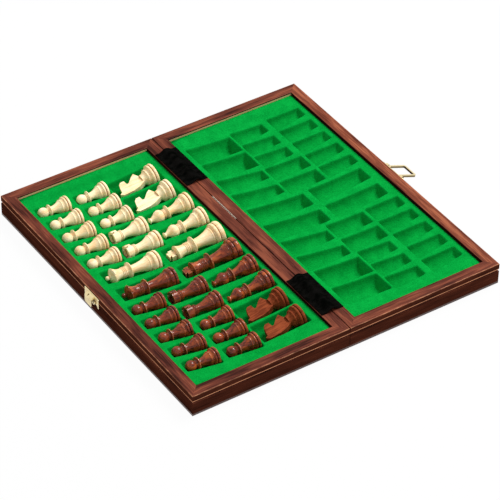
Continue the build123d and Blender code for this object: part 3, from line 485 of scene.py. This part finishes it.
# ---------------------------------------------------------------- brass
def brass(name, tint, roughness, shaded_sides=0.0):
    """Brass with a painted highlight on its edges, and painted shade by a share where it doesn't face
    up.
    """
    look = Finish(name)
    tarnish = look.noise((5, 5, 5), detail=4, roughness=0.6)
    scratches = look.noise((0.15, 3, 3), detail=3)
    tarnished = look.blend(1.0, tint, TARNISH, mode="MULTIPLY")
    metal = look.blend(look.ramp(tarnish, 0.45, 0.75, 0.0, 0.35), tint, tarnished)
    # Painted highlight on the edges
    lighter_edges = look.edges(radius=0.35, low=0.03, high=0.25)
    metal = look.blend(look.times(lighter_edges, 0.6), metal, BRASS_EDGE_HIGHLIGHT)
    # Painted shade where the brass doesn't face up, by the share given
    metal = look.blend(look.ramp(look.up(), 0.2, 0.8, shaded_sides, 0.0), metal, SHADED_BRASS)
    worn = look.ramp(tarnish, 0.3, 0.7, roughness, roughness + 0.16)
    scratched = look.ramp(scratches, 0.55, 0.75, 0.0, 0.08)
    look.set(Base_Color=metal, Metallic=1.0, Roughness=look.plus(worn, scratched))
    look.bumps([(scratches, 0.01), (tarnish, 0.03)], rounding=0.2)
    return look.material


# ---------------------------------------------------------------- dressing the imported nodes
def dress(node, material):
    """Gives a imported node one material."""
    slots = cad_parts[node].data.materials
    slots.clear()
    slots.append(material)


def dress_case():
    outer_shades = {"base": RIM_WOOD, "lid": RIM_WOOD_WARM}
    for number, side in enumerate(outer_shades):
        rails = {
            "near": (ALONG_X, RIM_WOOD, 11.0),
            "far": (ALONG_X, RIM_WOOD, 21.0),
            "outer": (ALONG_Y, outer_shades[side], 31.0),
            "spine": (ALONG_Y, RIM_WOOD, 41.0),
        }
        for rail, (along, rim_shades, seed) in rails.items():
            wood = case_wood(f"{side}_{rail}_wood", along, rim_shades, seed + number)
            dress(f"{side}_{rail}_rail", wood)
    veneer = board_veneer()
    for side in outer_shades:
        dress(f"{side}_board_panel", veneer)


def dress_fittings():
    hinge = brass("hinge_brass", HINGE_BRASS, 0.32)
    clasp = brass("clasp_brass", PALE_BRASS, 0.2)
    # The loop and its plate get painted shade on their sides
    loop = brass("loop_brass", PALE_BRASS, 0.2, shaded_sides=0.9)
    for side in ("base", "lid"):
        dress(f"{side}_hinge_leaves", hinge)
        dress(f"{side}_hinge_screws", hinge)
    dress("hinge_pins", hinge)
    for node in ("clasp_nails", "keeper", "keeper_nails"):
        dress(node, clasp)
    for node in ("clasp_plate", "clasp_loop"):
        dress(node, loop)


def dress_men():
    light, dark, knight = boxwood(), stained_wood(), knight_wood()
    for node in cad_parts:
        if node.startswith("light_"):
            dress(node, light)
        elif node.startswith("dark_knight"):
            dress(node, knight)
        elif node.startswith("dark_"):
            dress(node, dark)


# ---------------------------------------------------------------- adding pieces
def add_object(name, data):
    """Puts an object with the given mesh, camera or lamp into the scene."""
    added = bpy.data.objects.new(name, data)
    bpy.context.scene.collection.objects.link(added)
    return added


def thicken(piece, thickness, offset):
    """Makes a sheet thick, in mm: under its points at an offset of -1, both sides of them at 0."""
    thick = piece.modifiers.new("thick", "SOLIDIFY")
    thick.thickness = thickness * MM
    thick.offset = offset


def finished_mesh(piece):
    """A copy of the piece's mesh with its modifiers applied."""
    evaluated = piece.evaluated_get(bpy.context.evaluated_depsgraph_get())
    return bpy.data.meshes.new_from_object(evaluated)


# ---------------------------------------------------------------- formed trays, in mm
TRAY_GRID = 0.4  # between the points that a tray is worked out on
GRID_SLACK = 1e-6  # so that rounding doesn't lose the last line of points
TRAY_SHEET = 0.6
TRAY_EDGE_DROP = 2.9  # rim to the tray at its long edges
TRAY_SAG = 4.3  # how much lower the tray is in its middle
TRAY_LIP = 0.35  # how softly the sheet bends at the pockets' edges
TRAY_DETAIL = 0.3  # share of the faces that is kept
END_SLANT = 0.47  # slope of a pocket's end wall at the man's head
END_DRAFT = 0.05  # slope of a pocket's end wall at the man's foot
OUTSIDE_SLOPE = 6.0  # how steeply a pocket's surface runs on above the sheet
PATTERN_SHIFT = 1.2  # the pockets' pattern sits this far off centre, along Y
POCKETS = {
    # rows from the middle, foot end, head end, foot radius, head radius
    "knight": ((84.7, 110.3), 18.1, 62.6, 11.8, 10.8),
    "bishop": ((37.3, 60.5), 16.3, 60.3, 10.3, 5.9),
    "king": ((12.6,), 16.3, 71.6, 11.2, 8.2),
    "middle_pawn": ((77.0, 96.4, 115.8), 65.2, 96.6, 8.8, 5.8),
    "rook": ((35.0, 57.0), 63.2, 99.9, 9.4, 7.7),
    "outer_pawn": ((34.6, 54.7, 74.8, 94.9, 115.0), 103.4, 134.8, 8.8, 5.8),
    "queen": ((12.8,), 78.5, 131.1, 10.0, 7.9),
}
MARGIN_START = 127.0  # the sheet stops sagging between here and its end, along Y
MARGIN_END = 137.0


def smooth(share):
    """A share that eases in and out, kept between 0 and 1."""
    share = np.clip(share, 0.0, 1.0)
    return share * share * (3 - 2 * share)


def blurred(heights, spread):
    """Heights averaged over their neighbours with a bell of the given spread, in grid steps."""
    reach = int(3 * spread) + 1
    bell = np.exp(-0.5 * (np.arange(-reach, reach + 1) / spread) ** 2)
    bell /= bell.sum()
    for axis in (0, 1):
        pads = [(reach, reach) if a == axis else (0, 0) for a in range(2)]
        wide = np.pad(heights, pads, mode="edge")
        count = heights.shape[axis]
        shifted = (np.take(wide, range(n, n + count), axis) for n in range(len(bell)))
        heights = sum(weight * layer for weight, layer in zip(bell, shifted))
    return heights


def end_wall(axis_z, inward, slope):
    """A pocket's end wall, from how far inside that end each point lies."""
    return axis_z - np.where(inward > 0, inward / slope, inward * OUTSIDE_SLOPE)


def tray_heights(x, y, left, right):
    """The upper surface of the lid's tray on a grid of x and y."""
    middle, half = (left + right) / 2, (right - left) / 2
    edge_z = RIM / MM - TRAY_EDGE_DROP
    low_z = edge_z - TRAY_SAG
    floor_z = BOARD_TOP / MM + TRAY_FIT + TRAY_SHEET
    sag = low_z + TRAY_SAG * ((x - middle) / half) ** 2
    margin = smooth((np.abs(y) - MARGIN_START) / (MARGIN_END - MARGIN_START))
    heights = sag + (edge_z - sag) * margin
    for rows, foot_x, head_x, foot_radius, head_radius in POCKETS.values():
        centre = (foot_x + head_x) / 2
        slope = 2 * TRAY_SAG * (centre - middle) / half**2
        axis_z = low_z + TRAY_SAG * ((centre - middle) / half) ** 2 + slope * (x - centre)
        radius = foot_radius + (x - foot_x) / (head_x - foot_x) * (head_radius - foot_radius)
        head_wall = end_wall(axis_z, head_x - x, END_SLANT)
        foot_wall = end_wall(axis_z, x - foot_x, END_DRAFT)
        ends = np.maximum(np.maximum(head_wall, foot_wall), floor_z)
        for row_y in [side * row + PATTERN_SHIFT for row in rows for side in (1, -1)]:
            off = np.abs(y - row_y)
            round_wall = np.sqrt(np.maximum(radius**2 - off**2, 0.0))
            trough = axis_z - np.where(off < radius, round_wall, (radius - off) * OUTSIDE_SLOPE)
            heights = np.minimum(heights, np.maximum(trough, ends))
    return blurred(heights, TRAY_LIP / TRAY_GRID)


def formed_tray():
    """The lid's tray as one mesh: its upper surface thinned out where it is flat, then thickened."""
    left, right = WELL_IN / MM, WELL_OUT / MM
    end = WELL_Y / MM - TRAY_FIT
    x_line = np.arange(left + TRAY_FIT, right - TRAY_FIT + GRID_SLACK, TRAY_GRID)
    y_line = np.arange(-end, end + GRID_SLACK, TRAY_GRID)
    x, y = np.meshgrid(x_line, y_line, indexing="ij")
    points = np.stack([x, y, tray_heights(x, y, left, right)], axis=-1).reshape(-1, 3) * MM
    across = len(y_line)
    corner = (np.arange(len(x_line) - 1)[:, None] * across + np.arange(across - 1)).ravel()
    faces = np.stack([corner, corner + across, corner + across + 1, corner + 1], axis=1)
    mesh = bpy.data.meshes.new("tray_sheet")
    mesh.from_pydata(points.tolist(), [], faces.tolist())
    sheet = add_object("tray_sheet", mesh)
    thin = sheet.modifiers.new("thin", "DECIMATE")
    thin.ratio = TRAY_DETAIL
    thicken(sheet, TRAY_SHEET, offset=-1.0)
    finished = finished_mesh(sheet)
    bpy.data.objects.remove(sheet)
    finished.shade_smooth()
    return finished


def make_trays():
    """Both trays from one mesh: the base's is the lid's, mirrored."""
    flock = green_flock()
    lid_mesh = formed_tray()
    base_mesh = lid_mesh.copy()
    base_mesh.transform(Matrix.Scale(-1, 4, (1, 0, 0)))
    base_mesh.flip_normals()
    for side, mesh in (("lid", lid_mesh), ("base", base_mesh)):
        mesh.materials.clear()
        mesh.materials.append(flock)
        tray = add_object(f"{side}_formed_tray", mesh)
        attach(tray, side)
        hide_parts(f"{side}_tray")


# ---------------------------------------------------------------- velvet over the hinges, in mm
PATCH_THICKNESS = 0.6
PATCH_LENGTH = 51.0
PATCH_REACH = 10.5  # hinge axis to the patch's edge
PATCH_ARCH = 7.2  # hinge axis to where the velvet meets the rims
PATCH_RISE = 3.7
PATCH_END_RISE = 0.82  # share of the rise that is left at its two ends
PATCH_STEP = 0.5
RIPPLE_HEIGHT = 0.12
RIPPLE_TURN = 5.1  # radians from the patch's middle to its end
RIPPLE_SLANT = 0.6  # radians per mm across


def patch_height(x, share_y):
    """The middle of the velvet above the rims, at x and at a share of the way out to its ends."""
    arch = 0.5 * (1 + math.cos(math.pi * min(abs(x) / PATCH_ARCH, 1.0)))
    rise = PATCH_RISE * (1 - (1 - PATCH_END_RISE) * share_y**4)
    ripple = RIPPLE_HEIGHT * math.sin(RIPPLE_TURN * share_y + RIPPLE_SLANT * x) * arch
    return PATCH_THICKNESS / 2 + rise * arch + ripple


def make_patch(name, low, high, velvet):
    """One strip of velvet, glued to both rims and arched over the knuckles between them."""
    builder = bmesh.new()
    middle_y, half_y = (low.y + high.y) / 2 / MM, (high.y - low.y) / 2 / MM
    columns = round(2 * PATCH_REACH / PATCH_STEP)
    rows = round(2 * half_y / PATCH_STEP)
    grid = []
    for i in range(columns + 1):
        x = -PATCH_REACH + i * 2 * PATCH_REACH / columns
        line = []
        for j in range(rows + 1):
            share = -1 + 2 * j / rows
            z = RIM / MM + patch_height(x, share)
            line.append(builder.verts.new(Vector((x, middle_y + share * half_y, z)) * MM))
        grid.append(line)
    for i in range(columns):
        for j in range(rows):
            builder.faces.new((grid[i][j], grid[i + 1][j], grid[i + 1][j + 1], grid[i][j + 1]))
    mesh = bpy.data.meshes.new(name)
    builder.to_mesh(mesh)
    builder.free()
    strip = add_object(name, mesh)
    thicken(strip, PATCH_THICKNESS, offset=0.0)
    strip.data = finished_mesh(strip)
    strip.modifiers.clear()
    strip.data.materials.clear()
    strip.data.materials.append(velvet)
    strip.data.shade_smooth()
    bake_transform(strip)
    return strip


def make_patches():
    """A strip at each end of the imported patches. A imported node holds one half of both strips."""
    velvet = black_velvet()
    low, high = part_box("lid_hinge_patches")
    length = PATCH_LENGTH * MM
    far = make_patch("far_hinge_velvet", Vector((low.x, high.y - length, 0)), high, velvet)
    make_patch("near_hinge_velvet", low, Vector((high.x, low.y + length, 0)), velvet)
    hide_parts("base_hinge_patches", "lid_hinge_patches")


dress_case()
dress_fittings()
dress_men()
make_trays()
make_patches()


# ---------------------------------------------------------------- camera, as the photograph's
CAMERA_AZIMUTH = -34.18
CAMERA_ELEVATION = 39.305
CAMERA_ROLL = 0.93
CAMERA_DISTANCE = 2.2973
CAMERA_TARGET = Vector((-12.93 * MM, -24.21 * MM, RIM))
CAMERA_CLIP = 0.05
LENS = 200.3
SENSOR = 36.0


def make_camera():
    azimuth, elevation = math.radians(CAMERA_AZIMUTH), math.radians(CAMERA_ELEVATION)
    back = Vector((math.sin(azimuth) * math.cos(elevation),
                   -math.cos(azimuth) * math.cos(elevation),
                   math.sin(elevation)))
    roll = Matrix.Rotation(math.radians(CAMERA_ROLL), 3, "Z")
    turn = (-back).to_track_quat("-Z", "Y").to_matrix() @ roll
    camera = add_object("camera", bpy.data.cameras.new("camera"))
    camera.matrix_world = Matrix.Translation(CAMERA_TARGET + CAMERA_DISTANCE * back) @ turn.to_4x4()
    camera.data.lens = LENS
    camera.data.sensor_width = SENSOR
    camera.data.clip_start = CAMERA_CLIP
    bpy.context.scene.camera = camera


# ---------------------------------------------------------------- floor and light
FLOOR_SIZE = 6.0
FLOOR_DROP = 0.05 * MM
FLOOR_ROUGHNESS = 0.9
FLOOR_GLOW = 0.96  # share of plain white over the painted, shadowed floor that the camera sees
SKY_STRENGTH = 0.58
KEY_POWER = 50.0
KEY_SIZE = 0.9
KEY_PLACE = Vector((1.1, 0.1, 1.9))


def backdrop_white(nodes, links, lit, white):
    """Mixes to plain white for what the camera and shiny or clear surfaces see."""
    path = nodes.new("ShaderNodeLightPath")
    seen = nodes.new("ShaderNodeMath")
    seen.operation = "MAXIMUM"
    links.new(path.outputs["Is Camera Ray"], seen.inputs[0])
    through = nodes.new("ShaderNodeMath")
    through.operation = "MAXIMUM"
    links.new(path.outputs["Is Glossy Ray"], through.inputs[0])
    links.new(path.outputs["Is Transmission Ray"], through.inputs[1])
    links.new(through.outputs[0], seen.inputs[1])
    mix = nodes.new("ShaderNodeMixShader")
    links.new(seen.outputs[0], mix.inputs["Fac"])
    links.new(lit, mix.inputs[1])
    links.new(white, mix.inputs[2])
    return mix.outputs[0]


def make_world():
    world = bpy.data.worlds.new("studio")
    bpy.context.scene.world = world
    world.use_nodes = True
    nodes, links = world.node_tree.nodes, world.node_tree.links
    lit = nodes["Background"]
    lit.inputs["Color"].default_value = WHITE
    lit.inputs["Strength"].default_value = SKY_STRENGTH
    white = nodes.new("ShaderNodeBackground")
    white.inputs["Color"].default_value = WHITE
    sky = backdrop_white(nodes, links, lit.outputs[0], white.outputs[0])
    links.new(sky, nodes["World Output"].inputs["Surface"])


def floor_white():
    """White paint that keeps the object's shadow, faintly, where the camera sees it."""
    material = bpy.data.materials.new("floor_white")
    material.use_nodes = True
    nodes, links = material.node_tree.nodes, material.node_tree.links
    paint = nodes["Principled BSDF"]
    paint.inputs["Base Color"].default_value = FLOOR_PAINT
    paint.inputs["Roughness"].default_value = FLOOR_ROUGHNESS
    glow = nodes.new("ShaderNodeEmission")
    glow.inputs["Color"].default_value = WHITE
    shadowed = nodes.new("ShaderNodeMixShader")
    shadowed.inputs["Fac"].default_value = FLOOR_GLOW
    links.new(paint.outputs[0], shadowed.inputs[1])
    links.new(glow.outputs[0], shadowed.inputs[2])
    surface = backdrop_white(nodes, links, paint.outputs[0], shadowed.outputs[0])
    links.new(surface, nodes["Material Output"].inputs["Surface"])
    return material


def make_floor():
    mesh = bpy.data.meshes.new("floor")
    builder = bmesh.new()
    bmesh.ops.create_grid(builder, x_segments=1, y_segments=1, size=FLOOR_SIZE / 2)
    builder.to_mesh(mesh)
    builder.free()
    mesh.materials.append(floor_white())
    floor = add_object("floor", mesh)
    floor.location.z = -FLOOR_DROP


def make_lights():
    lamp = add_object("key", bpy.data.lights.new("key", "AREA"))
    lamp.data.shape = "SQUARE"
    lamp.data.size = KEY_SIZE
    lamp.data.energy = KEY_POWER
    lamp.location = KEY_PLACE
    lamp.rotation_euler = (-KEY_PLACE).to_track_quat("-Z", "Y").to_euler()


make_camera()
make_world()
make_floor()
make_lights()
bpy.context.scene.view_settings.view_transform = "Standard"
